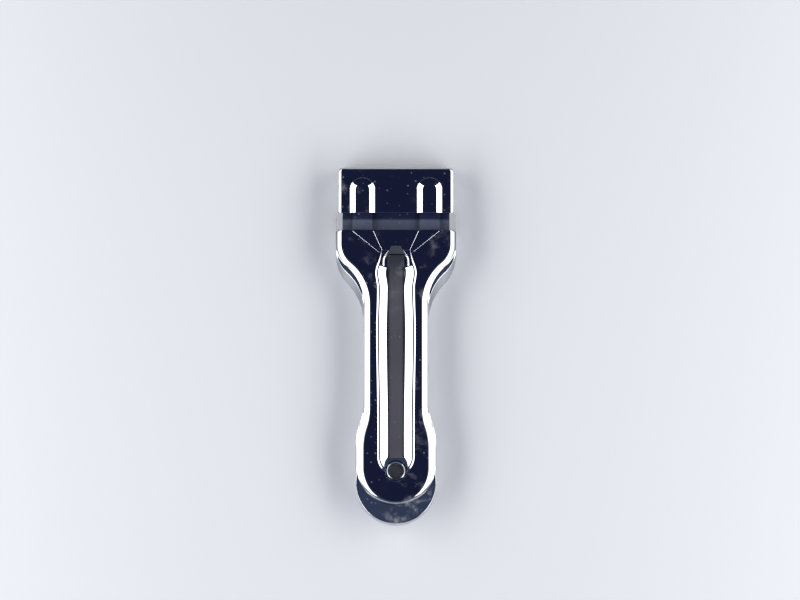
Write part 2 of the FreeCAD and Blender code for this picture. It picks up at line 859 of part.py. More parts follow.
makers = {
    "top_shell": make_top_shell,
    "bottom_shell": make_bottom_shell,
    "side_guides": make_side_guides,
    "core_frame": make_core_frame,
    "grip_strip": make_grip_strip,
    "lock_button": make_lock_button,
    "lock_spring": make_lock_spring,
    "spring_screw": make_spring_screw,
    "blade_guard": make_blade_guard,
    "blade": make_blade,
    "blade_clamp": make_blade_clamp,
    "clamp_screws": make_clamp_screws,
    "clamp_inserts": make_clamp_inserts,
    "neck_screws": make_neck_screws,
    "handle_screws": make_handle_screws,
    "hang_eyelet": make_hang_eyelet,
}

os.makedirs("parts", exist_ok=True)
for node, maker in makers.items():
    shape = maker()
    if not shape.isValid():
        raise RuntimeError(node + " is not a valid solid")
    print(node, len(shape.Solids), "solids", round(shape.Volume, 1), "mm3")
    shape.exportStep("parts/" + node + ".step")
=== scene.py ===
import math

import bmesh
import bpy
import numpy as np
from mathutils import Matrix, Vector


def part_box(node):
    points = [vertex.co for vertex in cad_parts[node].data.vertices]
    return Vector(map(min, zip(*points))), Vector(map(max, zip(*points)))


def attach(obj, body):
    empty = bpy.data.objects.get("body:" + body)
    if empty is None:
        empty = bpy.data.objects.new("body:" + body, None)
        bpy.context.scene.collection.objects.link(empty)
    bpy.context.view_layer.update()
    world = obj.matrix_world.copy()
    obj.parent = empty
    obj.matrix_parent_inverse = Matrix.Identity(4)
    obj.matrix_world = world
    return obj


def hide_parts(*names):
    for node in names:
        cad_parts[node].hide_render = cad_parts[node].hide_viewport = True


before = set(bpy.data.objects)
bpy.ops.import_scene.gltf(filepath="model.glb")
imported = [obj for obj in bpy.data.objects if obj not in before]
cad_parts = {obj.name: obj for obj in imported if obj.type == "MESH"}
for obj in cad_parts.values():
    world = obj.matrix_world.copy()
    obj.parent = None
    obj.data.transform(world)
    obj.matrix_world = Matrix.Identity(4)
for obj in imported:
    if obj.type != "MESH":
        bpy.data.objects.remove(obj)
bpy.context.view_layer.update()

mm = 0.001  # shapes are worked out in millimetres and stored in metres


def boxOf(node):  # lowest and highest corner of a node, in millimetres
    low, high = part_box(node)
    return np.array(low) / mm, np.array(high) / mm


topLow, topHigh = boxOf("top_shell")
guardLow, guardHigh = boxOf("blade_guard")
stripLow, stripHigh = boxOf("grip_strip")
eyeletLow, eyeletHigh = boxOf("hang_eyelet")
buttonLow, buttonHigh = boxOf("lock_button")
guideLow, guideHigh = boxOf("side_guides")
neckFront = topHigh[1]
jointHeight = topLow[2]
spineTop = topHigh[2]
hangHole = (eyeletLow[1] + eyeletHigh[1]) / 2
below, above = -1.0, spineTop + 1.0  # cutters that pass right through reach this far
print("frame loaded:", len(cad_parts), "nodes")


# mesh helpers

meshCare = {"merge": 0.0005, "collapse": 0.0002, "roundSteps": 96, "crease": 32.0,
            "cornerShare": 0.45}  # the most of a side that a rounded corner takes, at either end


def cleanMesh(mesh):  # points that meet become one, faces without area go, the rest are turned outward
    work = bmesh.new()
    work.from_mesh(mesh)
    bmesh.ops.remove_doubles(work, verts=work.verts, dist=meshCare["merge"] * mm)
    bmesh.ops.dissolve_degenerate(work, edges=work.edges, dist=meshCare["collapse"] * mm)
    bmesh.ops.recalc_face_normals(work, faces=work.faces)
    work.to_mesh(mesh)
    work.free()


def newObject(name, points, faces):  # an object from point and face arrays, placed by its points alone
    mesh = bpy.data.meshes.new(name)
    mesh.from_pydata((np.asarray(points) * mm).tolist(), [], faces)
    cleanMesh(mesh)
    piece = bpy.data.objects.new(name, mesh)
    bpy.context.scene.collection.objects.link(piece)
    return piece


def gridQuads(count, length):  # faces between neighbouring rows of closed loops
    here = np.arange(count - 1)[:, None] * length + np.arange(length)
    aside = np.arange(count - 1)[:, None] * length + np.roll(np.arange(length), -1)
    return np.stack([here, aside, aside + length, here + length], -1).reshape(-1, 4).tolist()


def gridSolid(name, rows):  # rows of a closed loop, joined row to row, with a flat end at either side
    count, length = rows.shape[:2]
    ends = [list(range(length)), list(range((count - 1) * length, count * length))]
    return newObject(name, rows.reshape(-1, 3), gridQuads(count, length) + ends)


def raised(loop, z):  # a flat (x, y) loop at one height
    return np.column_stack([loop, np.full(len(loop), z)])


def swept(name, x, y, z):  # an (x, z) loop for each station y, joined into a solid
    return gridSolid(name, np.stack(np.broadcast_arrays(x, y, z), -1))


def prism(name, corners, near, far):  # an (x, z) outline pushed along y
    x, z = np.array(corners, float).T
    return swept(name, x, np.array([[near], [far]]), z)


def rectangle(left, right, low, high):  # four corners, anticlockwise
    return [(left, low), (right, low), (right, high), (left, high)]


def block(name, halfWidth, yRange, zRange):  # a box that lies evenly across the middle
    return prism(name, rectangle(-halfWidth, halfWidth, *zRange), *yRange)


def turned(name, profile, centre):  # an (r, z) loop swung once round an upright axis
    turn = np.linspace(0, 2 * np.pi, meshCare["roundSteps"] + 1)[:, None]
    x = centre[0] + profile[:, 0] * np.cos(turn)
    y = centre[1] + profile[:, 0] * np.sin(turn)
    rows = np.stack([x, y, np.broadcast_to(profile[:, 1], x.shape)], -1)
    return newObject(name, rows.reshape(-1, 3), gridQuads(*rows.shape[:2]))


def post(name, radius, centre, zRange):  # an upright round bar
    turn = np.linspace(0, 2 * np.pi, meshCare["roundSteps"], endpoint=False)
    ring = np.stack([centre[0] + radius * np.cos(turn), centre[1] + radius * np.sin(turn)], -1)
    return gridSolid(name, np.array([raised(ring, z) for z in zRange]))


def carve(piece, operation, tools):  # each tool is added to or taken from the piece in turn
    for tool in tools:
        step = piece.modifiers.new("carve", "BOOLEAN")
        step.operation = operation
        step.object = tool
        step.solver = "EXACT"
    found = piece.evaluated_get(bpy.context.evaluated_depsgraph_get())
    old = piece.data
    piece.data = bpy.data.meshes.new_from_object(found)
    piece.data.name = piece.name
    cleanMesh(piece.data)
    piece.modifiers.clear()
    bpy.data.meshes.remove(old)
    for tool in tools:
        mesh = tool.data
        bpy.data.objects.remove(tool)
        bpy.data.meshes.remove(mesh)


def finishPiece(piece, body, material, node):  # smooth shading up to the crease angle, finish and body
    piece.data.shade_smooth()
    piece.data.set_sharp_from_angle(angle=math.radians(meshCare["crease"]))
    piece.data.materials.clear()
    piece.data.materials.append(material)
    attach(piece, body)
    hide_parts(node)
    print("made", piece.name, len(piece.data.polygons), "faces")


def softStep(run, rise, total, soft):  # height over a slope with rounded foot and head
    slope = rise / total
    foot = slope * np.clip(run + soft, 0, 2 * soft) ** 2 / (4 * soft)
    line = foot + slope * np.maximum(run - soft, 0)
    over = np.clip(run - total + soft, 0, 2 * soft)
    bent = slope * over ** 2 / (4 * soft)
    beyond = slope * np.maximum(run - total - soft, 0)
    return line - bent - beyond


def quarterDrop(distance, radius):  # how far a quarter circle has drawn in, this far from its end
    share = np.clip(1 - distance / radius, 0, 1)
    return radius * (1 - np.sqrt(1 - share ** 2))


def quarterStops(radius, steps=8):  # distances from the end that follow a quarter circle evenly
    return radius * (1 - np.cos(np.linspace(0, math.pi / 2, steps)))


def roundedLoop(corners, radius, steps=5):  # a closed outline with its corners turned by short parabolas
    now = np.asarray(corners, float)
    most = meshCare["cornerShare"]
    back = np.roll(now, 1, -2) - now
    ahead = np.roll(now, -1, -2) - now
    start = now + back * np.minimum(radius / np.linalg.norm(back, axis=-1, keepdims=True), most)
    end = now + ahead * np.minimum(radius / np.linalg.norm(ahead, axis=-1, keepdims=True), most)
    t = np.linspace(0, 1, steps + 1)[:, None]
    start, corner, end = start[..., None, :], now[..., None, :], end[..., None, :]
    curve = (1 - t) ** 2 * start + 2 * t * (1 - t) * corner + t ** 2 * end
    return curve.reshape(now.shape[:-2] + (-1, 2))


# shader helpers

def nodeIn(tree, kind, values=None, **settings):  # one shader node: output sockets are linked, numbers set
    node = tree.nodes.new(kind)
    for key, value in settings.items():
        setattr(node, key, value)
    for key, value in (values or {}).items():
        if isinstance(value, bpy.types.NodeSocket):
            tree.links.new(value, node.inputs[key])
        else:
            node.inputs[key].default_value = value
    return node


def mathIn(tree, operation, first, second=0.0, third=0.0, clamp=False):  # one sum on up to three values
    values = {0: first, 1: second, 2: third}
    return nodeIn(tree, "ShaderNodeMath", values, operation=operation, use_clamp=clamp).outputs[0]


def rangeIn(tree, value, low, high, newLow=0.0, newHigh=1.0):  # a value between two limits becomes a mask
    values = {"Value": value, "From Min": low, "From Max": high, "To Min": newLow, "To Max": newHigh}
    return nodeIn(tree, "ShaderNodeMapRange", values, interpolation_type="SMOOTHSTEP").outputs["Result"]


def mixIn(tree, factor, first, second):  # a colour between two, by the Mix node's colour sockets
    values = {"Factor": factor, 6: first, 7: second}
    return nodeIn(tree, "ShaderNodeMix", values, data_type="RGBA").outputs[2]


def noiseIn(tree, vector, scale, detail=3.0, rough=0.5):  # a cloudy value from 0 to 1
    values = {"Vector": vector, "Scale": scale, "Detail": detail, "Roughness": rough}
    return nodeIn(tree, "ShaderNodeTexNoise", values).outputs["Fac"]


def newGroup(name, inputs, outputs):  # an empty node group with its named sockets
    tree = bpy.data.node_groups.new(name, "ShaderNodeTree")
    for title, kind in inputs.items():
        tree.interface.new_socket(title, in_out="INPUT", socket_type="NodeSocket" + kind)
    for title in outputs:
        tree.interface.new_socket(title, in_out="OUTPUT", socket_type="NodeSocketFloat")
    return tree, tree.nodes.new("NodeGroupInput").outputs, tree.nodes.new("NodeGroupOutput").inputs


dustForm = {"scale": 620.0, "dotOuter": 0.30, "dotInner": 0.10, "most": 0.6,
            "cloudScale": 150.0, "cloudDetail": 7.0, "cloudRough": 0.68, "cloud": (0.50, 0.72),
            "patchScale": 45.0, "patchDetail": 2.0, "patch": (0.50, 0.66)}


def makeDust():  # scattered specks, plus cloudy smudges where two noises both run high
    form = dustForm
    inputs = {"Vector": "Vector", "Specks": "Float", "Smudges": "Float"}
    tree, given, result = newGroup("dustAndSmudges", inputs, ["Dust", "Smudge"])
    cells = nodeIn(tree, "ShaderNodeTexVoronoi", {"Vector": given["Vector"], "Scale": form["scale"]})
    dot = rangeIn(tree, cells.outputs["Distance"], form["dotOuter"], form["dotInner"])
    chance = nodeIn(tree, "ShaderNodeSeparateColor", {"Color": cells.outputs["Color"]}).outputs
    limit = mathIn(tree, "SUBTRACT", 1.0, mathIn(tree, "MULTIPLY", given["Specks"], form["most"]))
    speck = mathIn(tree, "MULTIPLY", dot, mathIn(tree, "GREATER_THAN", chance["Red"], limit))
    tree.links.new(mathIn(tree, "MULTIPLY", speck, chance["Green"]), result["Dust"])
    cloud = noiseIn(tree, given["Vector"], form["cloudScale"], form["cloudDetail"], form["cloudRough"])
    cloud = rangeIn(tree, cloud, *form["cloud"])
    patch = noiseIn(tree, given["Vector"], form["patchScale"], form["patchDetail"])
    patch = rangeIn(tree, patch, *form["patch"])
    film = mathIn(tree, "MULTIPLY", mathIn(tree, "MULTIPLY", cloud, patch), given["Smudges"], clamp=True)
    tree.links.new(film, result["Smudge"])
    return tree


grainForm = {"fineDetail": 2.0, "slowDetail": 3.0}


def makeGrain():  # fine moulded or cast grain: a quick noise over a slow one
    inputs = {"Vector": "Vector", "Fine Scale": "Float", "Slow Scale": "Float", "Slow Share": "Float"}
    tree, given, result = newGroup("surfaceGrain", inputs, ["Height", "Mottle"])
    fine = noiseIn(tree, given["Vector"], given["Fine Scale"], grainForm["fineDetail"])
    slow = noiseIn(tree, given["Vector"], given["Slow Scale"], grainForm["slowDetail"])
    rest = mathIn(tree, "MULTIPLY", fine, mathIn(tree, "SUBTRACT", 1.0, given["Slow Share"]))
    tree.links.new(mathIn(tree, "MULTIPLY_ADD", slow, given["Slow Share"], rest), result["Height"])
    tree.links.new(slow, result["Mottle"])
    return tree


scratchForm = {"peak": (0.64, 0.70), "patchScale": 90.0, "patch": (0.45, 0.70), "detail": 2.0}


def makeScratches():  # hairlines: a noise stretched along one way, kept where it peaks
    form = scratchForm
    inputs = {"Vector": "Vector", "Along": "Vector", "Amount": "Float"}
    tree, given, result = newGroup("hairScratches", inputs, ["Scratch"])
    values = {0: given["Vector"], 1: given["Along"]}
    stretched = nodeIn(tree, "ShaderNodeVectorMath", values, operation="MULTIPLY").outputs[0]
    lines = rangeIn(tree, noiseIn(tree, stretched, scale=1.0, detail=form["detail"]), *form["peak"])
    where = noiseIn(tree, given["Vector"], form["patchScale"], form["detail"])
    where = rangeIn(tree, where, *form["patch"])
    kept = mathIn(tree, "MULTIPLY", mathIn(tree, "MULTIPLY", lines, where), given["Amount"], clamp=True)
    tree.links.new(kept, result["Scratch"])
    return tree


dustGroup = makeDust()
grainGroup = makeGrain()
scratchGroup = makeScratches()


def newMaterial(name):  # a material, its tree and its shader
    material = bpy.data.materials.new(name)
    material.use_nodes = True
    tree = material.node_tree
    return material, tree, tree.nodes["Principled BSDF"]


def objectPlace(tree):  # the place on the piece, in metres
    return nodeIn(tree, "ShaderNodeTexCoord").outputs["Object"]


def useGroup(tree, group, values):  # a shared effect with this material's own values
    return nodeIn(tree, "ShaderNodeGroup", values, node_tree=group).outputs


def bumpInto(tree, shader, height, distance, strength=1.0):  # fine height becomes the shader's normal
    bump = nodeIn(tree, "ShaderNodeBump", {"Height": height, "Distance": distance, "Strength": strength})
    tree.links.new(bump.outputs["Normal"], shader.inputs["Normal"])


def dimmed(colour, share):  # the colour times a share, still opaque
    return tuple(share * part for part in colour[:3]) + (1,)


plating = {"colour": (0.51, 0.52, 0.54, 1), "dust": (0.30, 0.32, 0.36, 1), "polish": 0.03, "specks": 0.35,
           "speckCover": 0.35, "smudges": 0.5, "smudgeCover": 0.75, "dirtRoughness": 0.30, "hairlines": 0.5,
           "hairlineRoughness": 0.08, "waves": 150.0, "pits": 900.0, "waveShare": 0.9, "waveDepth": 0.000006,
           "along": (40.0, 900.0, 40.0), "tailSmudges": 1.7, "tailFrom": hangHole + 4.0,
           "tailTo": hangHole - 12.0}  # the tail is touched more


def makePlating():  # mirror plating on a casting: slow waves, hairlines, dust and smudges
    form = plating
    material, tree, shader = newMaterial("brightPlating")
    place = objectPlace(tree)
    along = nodeIn(tree, "ShaderNodeSeparateXYZ", {"Vector": place}).outputs["Y"]
    touched = rangeIn(tree, along, form["tailFrom"] * mm, form["tailTo"] * mm, form["smudges"],
                      form["smudges"] * form["tailSmudges"])
    dirt = useGroup(tree, dustGroup, {"Vector": place, "Specks": form["specks"], "Smudges": touched})
    scratch = useGroup(tree, scratchGroup, {"Vector": place, "Along": form["along"],
                                            "Amount": form["hairlines"]})["Scratch"]
    grain = useGroup(tree, grainGroup, {"Vector": place, "Fine Scale": form["pits"],
                                        "Slow Scale": form["waves"], "Slow Share": form["waveShare"]})
    veil = mathIn(tree, "MULTIPLY", dirt["Smudge"], form["smudgeCover"])
    cover = mathIn(tree, "MAXIMUM", mathIn(tree, "MULTIPLY", dirt["Dust"], form["speckCover"]), veil)
    tree.links.new(mixIn(tree, cover, form["colour"], form["dust"]), shader.inputs["Base Color"])
    tree.links.new(mathIn(tree, "SUBTRACT", 1.0, cover), shader.inputs["Metallic"])
    rough = mathIn(tree, "MULTIPLY_ADD", cover, form["dirtRoughness"], form["polish"])
    rough = mathIn(tree, "MULTIPLY_ADD", scratch, form["hairlineRoughness"], rough)
    tree.links.new(rough, shader.inputs["Roughness"])
    bumpInto(tree, shader, grain["Height"], form["waveDepth"])
    return material


corePlastic = {"name": "corePlastic", "colour": (0.094, 0.108, 0.160, 1), "pale": (0.24, 0.25, 0.28, 1),
               "roughness": 0.5, "scuffs": 0.5, "shade": (0.009, 0.012, 0.044, 1), "shadeDepth": 1.0,
               "shadeFrom": guardLow[1] - 3.3, "shadeTo": guardLow[1] - 2.1}  # painted shadow under the guard's rear edge: darkened towards the guard
stripPlastic = {"name": "stripPlastic", "colour": (0.078, 0.075, 0.092, 1), "pale": (0.22, 0.21, 0.23, 1),
                "roughness": 0.55, "scuffs": 0.7, "shade": (0.024, 0.027, 0.037, 1), "shadeDepth": 1.0,
                "shadeFrom": stripHigh[1] - 14.7, "shadeTo": stripHigh[1] - 0.7}  # painted shadow of the raised button: darkened towards its nose
buttonPlastic = {"name": "buttonPlastic", "colour": (0.060, 0.065, 0.090, 1), "pale": (0.22, 0.22, 0.25, 1),
                 "roughness": 0.5, "scuffs": 0.5, "shade": (0.024, 0.027, 0.037, 1), "shadeDepth": 0.3,
                 "shadeFrom": buttonHigh[1] - 3.0, "shadeTo": buttonLow[1] + 1.0}  # painted shade: darkened towards its rear
mottleBand = (0.3, 0.7)  # the part of the slow noise that varies roughness
moulding = {"grain": 3200.0, "mottle": 110.0, "mottleShare": 0.25, "mottleDim": 0.8, "specks": 0.5,
            "hairlines": 0.5, "across": (900.0, 40.0, 40.0), "scuffCover": 0.5, "speckCover": 0.6,
            "hairlineCover": 0.25, "roughSpread": 0.06, "specular": 0.25, "depth": 0.00002, "bump": 0.6}


def makePlastic(look):  # matte moulding: grain, mottling, scuffs, and painted shade that darkens one end
    form = moulding
    material, tree, shader = newMaterial(look["name"])
    place = objectPlace(tree)
    grain = useGroup(tree, grainGroup, {"Vector": place, "Fine Scale": form["grain"],
                                        "Slow Scale": form["mottle"], "Slow Share": form["mottleShare"]})
    dirt = useGroup(tree, dustGroup, {"Vector": place, "Specks": form["specks"], "Smudges": look["scuffs"]})
    scratch = useGroup(tree, scratchGroup, {"Vector": place, "Along": form["across"],
                                            "Amount": form["hairlines"]})
    base = mixIn(tree, grain["Mottle"], dimmed(look["colour"], form["mottleDim"]), look["colour"])
    along = nodeIn(tree, "ShaderNodeSeparateXYZ", {"Vector": place}).outputs["Y"]
    # painted shade: the colour darkens towards one end along the piece, by the look's shade values
    paintedShade = rangeIn(tree, along, look["shadeFrom"] * mm, look["shadeTo"] * mm, 0.0, look["shadeDepth"])
    base = mixIn(tree, paintedShade, base, look["shade"])
    worn = mathIn(tree, "MULTIPLY", dirt["Smudge"], form["scuffCover"])
    worn = mathIn(tree, "MAXIMUM", worn, mathIn(tree, "MULTIPLY", dirt["Dust"], form["speckCover"]))
    worn = mathIn(tree, "MAXIMUM", worn, mathIn(tree, "MULTIPLY", scratch["Scratch"], form["hairlineCover"]))
    tree.links.new(mixIn(tree, worn, base, look["pale"]), shader.inputs["Base Color"])
    low, high = look["roughness"] - form["roughSpread"], look["roughness"] + form["roughSpread"]
    tree.links.new(rangeIn(tree, grain["Mottle"], *mottleBand, low, high), shader.inputs["Roughness"])
    shader.inputs["Specular IOR Level"].default_value = form["specular"]
    bumpInto(tree, shader, grain["Height"], form["depth"], form["bump"])
    return material


metals = {
    "bladeSteel": {"colour": (0.60, 0.61, 0.63, 1), "roughness": 0.28, "along": (30.0, 1600.0, 30.0)},
    "plainSteel": {"colour": (0.50, 0.51, 0.53, 1), "roughness": 0.35, "along": (900.0, 30.0, 30.0)},
    "screwSteel": {"colour": (0.55, 0.56, 0.58, 1), "roughness": 0.30, "along": (500.0, 500.0, 500.0)},
    "insertBrass": {"colour": (0.70, 0.55, 0.25, 1), "roughness": 0.30, "along": (300.0, 300.0, 300.0)},
}
stain = {"fine": 1500.0, "slow": 140.0, "share": 0.5, "dim": 0.7, "roughSpread": 0.08, "lines": 1.0,
         "lineDepth": 0.000008}


def makeMetal(name):  # rolled, ground or turned metal: lines one way, slow stains
    look = metals[name]
    material, tree, shader = newMaterial(name)
    place = objectPlace(tree)
    scratch = useGroup(tree, scratchGroup, {"Vector": place, "Along": look["along"],
                                            "Amount": stain["lines"]})["Scratch"]
    grain = useGroup(tree, grainGroup, {"Vector": place, "Fine Scale": stain["fine"],
                                        "Slow Scale": stain["slow"], "Slow Share": stain["share"]})
    colour = mixIn(tree, grain["Mottle"], dimmed(look["colour"], stain["dim"]), look["colour"])
    tree.links.new(colour, shader.inputs["Base Color"])
    shader.inputs["Metallic"].default_value = 1.0
    low, high = look["roughness"] - stain["roughSpread"], look["roughness"] + stain["roughSpread"]
    tree.links.new(rangeIn(tree, grain["Mottle"], *mottleBand, low, high), shader.inputs["Roughness"])
    bumpInto(tree, shader, scratch, stain["lineDepth"])
    return material


chromeLook = makePlating()
coreLook = makePlastic(corePlastic)
stripLook = makePlastic(stripPlastic)
buttonLook = makePlastic(buttonPlastic)
metalLooks = {name: makeMetal(name) for name in metals}
print("materials ready")


# the two shells of the handle

bodyForm = {
    "wall": {"shoulderHalf": topHigh[0], "shoulderSide": 10.2, "shoulderRadius": 16.0, "neckRadius": 24.0,
             "gripHalf": 12.8, "flareRadius": 20.8, "tailRadius": 16.0, "tailSide": 17.0,
             "tailCentre": topLow[1] + 16.0},
    "rim": {"shoulderHalf": topHigh[0] - 0.1, "shoulderSide": 5.7, "shoulderRadius": 11.3, "neckRadius": 19.7,
            "gripHalf": 12.65, "flareRadius": 26.7, "tailRadius": 15.6, "tailSide": 7.1,
            "tailCentre": hangHole + 1.8},
    "flat": {"shoulderHalf": topHigh[0] - 2.4, "shoulderSide": 5.7, "shoulderRadius": 9.0, "neckRadius": 22.0,
             "gripHalf": 10.15, "flareRadius": 26.7, "tailRadius": 12.4, "tailSide": 8.9,
             "tailCentre": hangHole},
    "frontCorner": 1.2, "frontRound": 0.25, "plateau": 11.0, "ceiling": 9.2, "shellWall": 2.0, "floor": 1.8,
    "rimDrop": 1.6, "rimPower": 1.3, "rimSteps": 17, "flatMargin": 0.35,
    "shelfDrop": 0.3, "slopeDrop": 3.6, "shelfShare": 0.36, "tailShelfShare": 0.86, "wallRound": 0.2,
    "shelfStops": (0.05, 0.3, 0.6, 0.8), "roundFrom": 0.89, "roundTo": 0.08,
    "slopeStops": (0.14, 0.45, 0.82), "bendFrom": 0.88,
    "bellyRadius": 3.0, "bellySteps": 13, "bellyMargin": 0.4, "jointChamfer": 0.12,
    "windowHalf": 21.5, "windowDepth": 4.0, "windowLow": 3.6, "windowHigh": 7.2,
    "screwBore": 1.45, "headBore": 2.7, "headDepth": 1.4,
    "steps": {"front": 30, "corner": 8, "side": 10, "bend": 28, "grip": 30, "flare": 24, "tailSide": 12,
              "tail": 48},
}
eyeletForm = {"bore": 3.2, "tube": 3.7, "flange": 4.35, "plate": 0.5, "edgeRound": 0.03, "seatGap": 0.05,
              "lip": 0.4, "lipDepth": 0.34, "edgeSteps": 6}
flangeSeat = eyeletForm["flange"] + eyeletForm["seatGap"]


def arcTo(centre, radius, start, end, steps, last=False):  # points of one arc, angles in radians
    turn = np.linspace(start, end, steps + last, endpoint=last)
    return np.stack([centre[0] + radius * np.cos(turn), centre[1] + radius * np.sin(turn)], -1)


def lineTo(start, end, steps):  # evenly spaced points of one line, without its end
    share = np.linspace(0, 1, steps, endpoint=False)[:, None]
    return np.array(start) + share * (np.array(end) - np.array(start))


def bodyHalf(sizes, inset, setBack):  # right half of the outline from front to tail: lines and tangent arcs
    steps = bodyForm["steps"]
    half = sizes["shoulderHalf"] - inset
    grip = sizes["gripHalf"] - inset
    tail = sizes["tailRadius"] - inset
    corner = max(bodyForm["frontCorner"] - inset, bodyForm["frontCorner"] / 2)
    frontY = neckFront - setBack
    sideEnd = neckFront - sizes["shoulderSide"]
    out, back = sizes["shoulderRadius"] - inset, sizes["neckRadius"] + inset
    turn = math.acos(1 - (half - grip) / (out + back))
    bendEnd = sideEnd - (out + back) * math.sin(turn)
    flareEnd = sizes["tailCentre"] + sizes["tailSide"]
    flareIn, flareOut = sizes["flareRadius"] + inset, sizes["flareRadius"] - inset
    swing = math.acos(1 - (tail - grip) / (flareIn + flareOut))
    flareStart = flareEnd + (flareIn + flareOut) * math.sin(swing)
    return np.concatenate([
        lineTo((0, frontY), (half - corner, frontY), steps["front"]),
        arcTo((half - corner, frontY - corner), corner, math.pi / 2, 0, steps["corner"]),
        lineTo((half, frontY - corner), (half, sideEnd), steps["side"]),
        arcTo((half - out, sideEnd), out, 0, -turn, steps["bend"]),
        arcTo((grip + back, bendEnd), back, math.pi - turn, math.pi, steps["bend"]),
        lineTo((grip, bendEnd), (grip, flareStart), steps["grip"]),
        arcTo((grip + flareIn, flareStart), flareIn, math.pi, math.pi + swing, steps["flare"]),
        arcTo((tail - flareOut, flareEnd), flareOut, swing, 0, steps["flare"]),
        lineTo((tail, flareEnd), (tail, sizes["tailCentre"]), steps["tailSide"]),
        arcTo((0, sizes["tailCentre"]), tail, 0, -math.pi / 2, steps["tail"], last=True),
    ])


def mirrored(half):  # the right half of a loop and its mirror image as one loop
    return np.concatenate([half, half[-2:0:-1] * (-1, 1)])


def bodyRing(sizes, inset, z, setBack=None):  # a whole outline, drawn in, at one height
    return raised(mirrored(bodyHalf(sizes, inset, inset if setBack is None else setBack)), z)


def between(first, second, share):  # the sizes of an outline part of the way from one outline to another
    return {name: first[name] + share * (second[name] - first[name]) for name in first}


def roundedRings(first, corner, last, steps=6):  # rings round an edge, a parabola between (sizes, z) pairs
    rings = []
    for share in np.linspace(0, 1, steps + 1):
        sizes = between(between(first[0], corner[0], share), between(corner[0], last[0], share), share)
        z = (1 - share) ** 2 * first[1] + 2 * share * (1 - share) * corner[1] + share ** 2 * last[1]
        rings.append(bodyRing(sizes, 0, z))
    return rings


def shelfSizes():  # the shelf's edge lies near the rim along the handle, and near the wall round the tail
    sizes = between(bodyForm["rim"], bodyForm["wall"], bodyForm["shelfShare"])
    tail = between(bodyForm["rim"], bodyForm["wall"], bodyForm["tailShelfShare"])
    sizes.update({name: tail[name] for name in ("tailRadius", "tailSide", "tailCentre")})
    return sizes


def ledgeRings():  # nearly level shelf, rounded edge, straight slope, rounded edge above the wall
    form, rim, shelf, wall = bodyForm, bodyForm["rim"], shelfSizes(), bodyForm["wall"]
    inside = form["plateau"] - form["rimDrop"]
    outside = inside - form["shelfDrop"]
    foot = outside - form["slopeDrop"]

    def onShelf(share):  # outline and height part of the way over the shelf
        return between(rim, shelf, share), inside + share * (outside - inside)

    def onSlope(share):  # outline and height part of the way down the slope
        return between(shelf, wall, share), outside + share * (foot - outside)

    rings = [bodyRing(onShelf(share)[0], 0, onShelf(share)[1]) for share in form["shelfStops"]]
    rings += roundedRings(onShelf(form["roundFrom"]), (shelf, outside), onSlope(form["roundTo"]))
    rings += [bodyRing(onSlope(share)[0], 0, onSlope(share)[1]) for share in form["slopeStops"]]
    return rings + roundedRings(onSlope(form["bendFrom"]), (wall, foot), (wall, foot - form["wallRound"]))


spineForm = {"stations": (38.5, 29.5, 23.5, 7.0, -33.0, -43.65), "halves": (5.9, 8.2, 7.5, 7.85, 7.4, 7.4),
             "frontSlope": 0.31, "bead": 0.7, "beadRise": 0.4, "flank": 3.0, "flankGap": 1.15, "soft": 0.18,
             "noseStart": 31.5, "noseDrop": 1.5, "noseSoft": 0.5, "noseStep": 1.95, "noseStepRun": 0.9,
             "noseStepSoft": 0.1, "noseLow": 0.35, "tailStart": -43.6, "tailRun": 5.0, "tailDrop": 2.4,
             "tailSoft": 0.6, "skirt": 0.5, "middleShare": 0.05, "bendReach": 1.25, "bendStops": 7,
             "flankStops": (0.3, 0.7)}


def spineWidth(y):  # half width by station, eased from one to the next by a smooth step
    stations, halves = spineForm["stations"], spineForm["halves"]
    width = np.full(len(y), halves[0])
    for i in range(len(stations) - 1):
        share = np.clip((stations[i] - y) / (stations[i] - stations[i + 1]), 0, 1)
        width = width + share ** 2 * (3 - 2 * share) * (halves[i + 1] - halves[i])
    return width


def noseFall(y):  # how far the spine's top has come down, this far along the tool
    form = spineForm
    reach = form["stations"][0] - form["noseStart"]
    return softStep(y - form["noseStart"], form["noseDrop"], reach, form["noseSoft"])


def metalFall(y):  # the metal comes down in one step where the nose starts, then slowly, and towards the hole
    form = spineForm
    step = softStep(y - form["noseStart"], form["noseStep"], form["noseStepRun"], form["noseStepSoft"])
    tail = softStep(form["tailStart"] - y, form["tailDrop"], form["tailRun"], form["tailSoft"])
    return step + form["noseLow"] / form["noseDrop"] * noseFall(y) + tail


def spineRing(inset):  # a loop of the spine, point for point beside the body's: bead, flank and nose
    form, steps = spineForm, bodyForm["steps"]
    guide = bodyHalf(bodyForm["flat"], 0, 0)
    frontCount = steps["front"] + steps["corner"]
    sideY = guide[frontCount:-steps["tail"] - 1, 1]
    front, tail = form["stations"][0], form["stations"][-1]
    frontY = front - inset * form["frontSlope"]
    share = (sideY[0] - sideY) / (sideY[0] - bodyForm["flat"]["tailCentre"])
    y = frontY - share * (frontY - tail)
    half = np.concatenate([
        lineTo((0, frontY), (form["halves"][0] - inset, frontY), frontCount),
        np.column_stack([spineWidth(y) - inset, y]),
        arcTo((0, tail), form["halves"][-1] - inset, 0, -math.pi / 2, steps["tail"], last=True),
    ])
    ring = raised(mirrored(half), bodyForm["plateau"])
    rise, soft = spineTop - bodyForm["plateau"], form["soft"]
    height = softStep(inset, form["beadRise"], form["bead"], soft)
    height = height + softStep(inset - form["flankGap"], rise - form["beadRise"], form["flank"], soft)
    ring[:, 2] += np.minimum(height, rise - metalFall(ring[:, 1]))
    return ring


def spineInsets():  # close together where bead and flank bend, from the spine's top out to its foot
    form = spineForm
    bends = np.array([0, form["bead"], form["flankGap"], form["flankGap"] + form["flank"]])
    reach = form["bendReach"] * form["soft"]
    near = np.linspace(-reach, reach, form["bendStops"])
    middle = form["flankGap"] + form["flank"] * np.array(form["flankStops"])
    return np.sort(np.concatenate([(bends[:, None] + near).ravel(), middle, [-form["skirt"]]]))[::-1]


